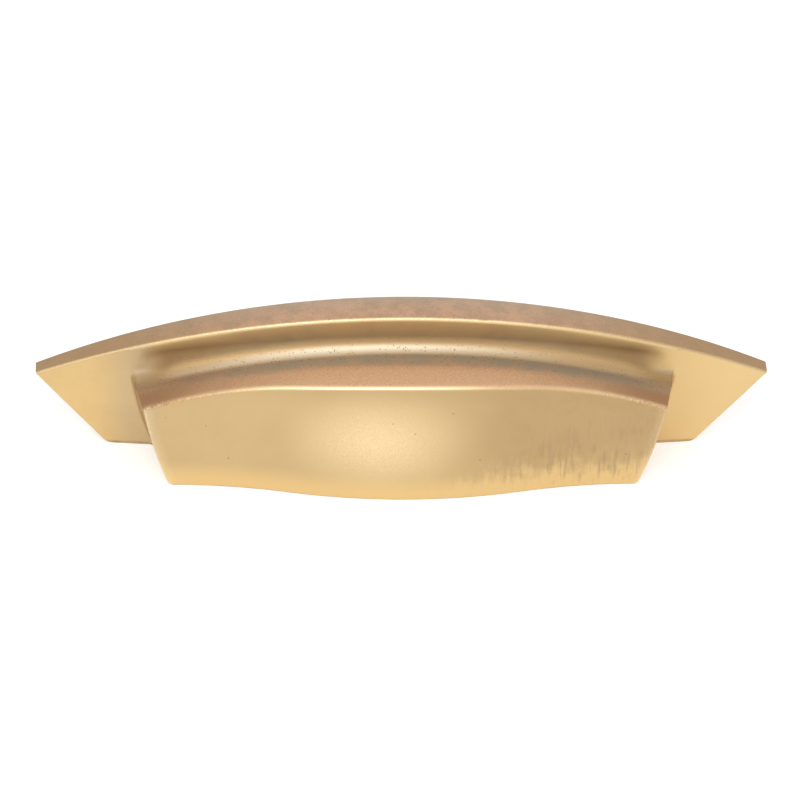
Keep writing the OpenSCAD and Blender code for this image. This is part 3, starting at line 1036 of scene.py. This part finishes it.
def ground_brass(finish, effects):
    """Back of the plate, ground flat on a belt: straight strokes along the plate."""
    material, made, shader = metal("ground_brass")
    cloud = effects.patches(made, 130.0, 0.38, 0.68)
    strokes = effects.strokes(made, (0.03, 1.0, 1.0), 2600.0)
    made.colour = made.blend(made.times(cloud, 0.45), finish.ground, finish.dull)
    made.coat(made.times(strokes["Lines"], 0.25), finish.cast)
    made.put(shader.inputs["Base Color"], made.colour)
    made.put(shader.inputs["Roughness"], made.ease(strokes["Lines"], 0.0, 1.0, 0.32, 0.44))
    rough_skin(made, shader, strokes["Height"], 0.015*MM)
    return material


def cut_brass(finish, effects):
    """Tapped holes: bright cut metal with a little cutting dirt."""
    material, made, shader = metal("cut_brass")
    cloud = effects.patches(made, 700.0, 0.4, 0.7)
    made.put(shader.inputs["Base Color"], made.blend(made.times(cloud, 0.5), finish.cut, finish.dull))
    made.put(shader.inputs["Roughness"], made.ease(cloud, 0.0, 1.0, 0.22, 0.36))
    return material


# Operators

# Angle between two faces from which their edge is shaded as sharp
SHARP = math.radians(32)
WHITE = (1.0, 1.0, 1.0, 1.0)
FLOOR_R = 0.9
FLOOR_SIDES = 72
# Strength of the white room where it lights the pull and isn't seen itself
ROOM_LIGHT = 0.62
KEY_SIZE = (0.30, 0.20)
KEY_PLACE = Vector((-0.06, -0.33, 0.46))
# Height above the floor of the point that the camera is set by
AIM_H = 12*MM
SENSOR_W = 36.0


class CUPPULL_OT_casting(bpy.types.Operator):
    """Builds the cast body of the pull, with its plate and hood, and finishes it in aged brass"""
    bl_idname = "cup_pull.casting"
    bl_label = "Cast Body"

    def execute(self, context):
        finish = context.scene.cup_pull_finish
        form = Casting(context.scene.cup_pull_sizes)
        body = new_object(PIECE, casting_mesh(form))
        effects = Effects()
        for make in (aged_brass, cast_skin, ground_brass, cut_brass):
            body.data.materials.append(make(finish, effects))
        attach(body, "root")
        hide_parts("cup_pull")
        return {"FINISHED"}


class CUPPULL_OT_posts(bpy.types.Operator):
    """Joins the two tapped screw posts to the inside of the hood"""
    bl_idname = "cup_pull.posts"
    bl_label = "Tapped Posts"

    def execute(self, context):
        form = Casting(context.scene.cup_pull_sizes)
        body = bpy.data.objects[PIECE]
        before = len(body.data.polygons)
        posts = []
        for side in (-1, 1):
            post = new_object("tapped_post", post_mesh(form, side))
            for material in body.data.materials:
                post.data.materials.append(material)
            join = body.modifiers.new("post", "BOOLEAN")
            join.operation = "UNION"
            join.solver = "EXACT"
            join.object = post
            posts.append(post)
        context.view_layer.update()
        graph = context.evaluated_depsgraph_get()
        joined = body.evaluated_get(graph)
        mesh = bpy.data.meshes.new_from_object(joined, preserve_all_data_layers=True, depsgraph=graph)
        body.modifiers.clear()
        body.data = mesh
        mesh.name = PIECE
        for post in posts:
            bpy.data.objects.remove(post)
        if len(mesh.polygons) < before:
            raise RuntimeError("the posts didn't join the casting")
        mesh.polygons.foreach_set("use_smooth", [True]*len(mesh.polygons))
        mesh.set_sharp_from_angle(angle=SHARP)
        return {"FINISHED"}


class CUPPULL_OT_stage(bpy.types.Operator):
    """Lays a white floor under the pull, lights it softly and sets the camera"""
    bl_idname = "cup_pull.stage"
    bl_label = "Stage"

    def execute(self, context):
        stage = context.scene.cup_pull_stage
        self.lay_floor(stage)
        self.light(context, stage)
        self.aim(context, stage)
        context.scene.view_settings.view_transform = "Standard"
        return {"FINISHED"}

    def seen(self, made):
        """1 for rays from the camera and for what metal reflects."""
        path = made.add("ShaderNodeLightPath").outputs
        return made.most(path["Is Camera Ray"], path["Is Glossy Ray"], path["Is Transmission Ray"])

    def lay_floor(self, stage):
        mesh = bpy.data.meshes.new("floor")
        turns = np.linspace(0, 2*math.pi, FLOOR_SIDES, endpoint=False)
        rim = [(FLOOR_R*math.cos(turn), FLOOR_R*math.sin(turn), LOW.z) for turn in turns]
        mesh.from_pydata(rim, [], [list(range(FLOOR_SIDES))])
        floor = new_object("floor", mesh)
        material = bpy.data.materials.new("white_floor")
        material.use_nodes = True
        made = Shading(material.node_tree)
        shader = material.node_tree.nodes["Principled BSDF"]
        made.put(shader.inputs["Base Color"], tuple(stage.floor))
        shader.inputs["Roughness"].default_value = 0.9
        shader.inputs["Specular IOR Level"].default_value = 0.0
        shader.inputs["Emission Color"].default_value = WHITE
        made.put(shader.inputs["Emission Strength"], made.times(self.seen(made), stage.floor_lift))
        mesh.materials.append(material)

    def light(self, context, stage):
        world = bpy.data.worlds.new("white_room")
        world.use_nodes = True
        context.scene.world = world
        made = Shading(world.node_tree)
        sky = world.node_tree.nodes["Background"]
        sky.inputs["Color"].default_value = WHITE
        made.put(sky.inputs["Strength"], made.ease(self.seen(made), 0.0, 1.0, ROOM_LIGHT, 1.0))
        data = bpy.data.lights.new("key", "AREA")
        data.shape = "RECTANGLE"
        data.size, data.size_y = KEY_SIZE
        data.energy = stage.key
        key = bpy.data.objects.new("key", data)
        key.location = KEY_PLACE
        key.rotation_euler = (-KEY_PLACE).to_track_quat("-Z", "Y").to_euler()
        context.scene.collection.objects.link(key)

    def aim(self, context, stage):
        data = bpy.data.cameras.new("camera")
        data.lens = stage.lens
        data.sensor_width = SENSOR_W
        data.clip_start = 0.01
        camera = bpy.data.objects.new("camera", data)
        sight = Matrix.Rotation(stage.turn, 4, "Z") @ Matrix.Rotation(math.pi/2 - stage.elevation, 4, "X")
        roll = Matrix.Rotation(-stage.roll, 4, "Z")
        middle = Matrix.Translation((0.0, 0.0, LOW.z + AIM_H))
        back = Matrix.Translation((-stage.aim_right, -stage.aim_up, stage.distance))
        camera.matrix_world = middle @ sight @ roll @ back
        context.scene.collection.objects.link(camera)
        context.scene.camera = camera


STEPS = (CUPPULL_OT_casting, CUPPULL_OT_posts, CUPPULL_OT_stage)
SETTINGS = {
    "cup_pull_sizes": CUPPULL_PG_sizes,
    "cup_pull_finish": CUPPULL_PG_finish,
    "cup_pull_stage": CUPPULL_PG_stage,
}


class CUPPULL_PT_panel(bpy.types.Panel):
    """Sizes, colours and steps of the cup pull"""
    bl_idname = "CUPPULL_PT_panel"
    bl_label = "Cup Pull"
    bl_space_type = "VIEW_3D"
    bl_region_type = "UI"
    bl_category = "Cup Pull"

    def draw(self, context):
        for key, group in SETTINGS.items():
            box = self.layout.box()
            for name in group.__annotations__:
                box.prop(getattr(context.scene, key), name)
        for step in STEPS:
            self.layout.operator(step.bl_idname)


CLASSES = (*SETTINGS.values(), *STEPS, CUPPULL_PT_panel)


def register():
    for made in CLASSES:
        bpy.utils.register_class(made)
    for key, group in SETTINGS.items():
        setattr(bpy.types.Scene, key, PointerProperty(type=group))


def unregister():
    for key in SETTINGS:
        delattr(bpy.types.Scene, key)
    for made in reversed(CLASSES):
        bpy.utils.unregister_class(made)


def main():
    register()
    bpy.ops.cup_pull.casting()
    bpy.ops.cup_pull.posts()
    bpy.ops.cup_pull.stage()


if __name__ == "__main__":
    main()
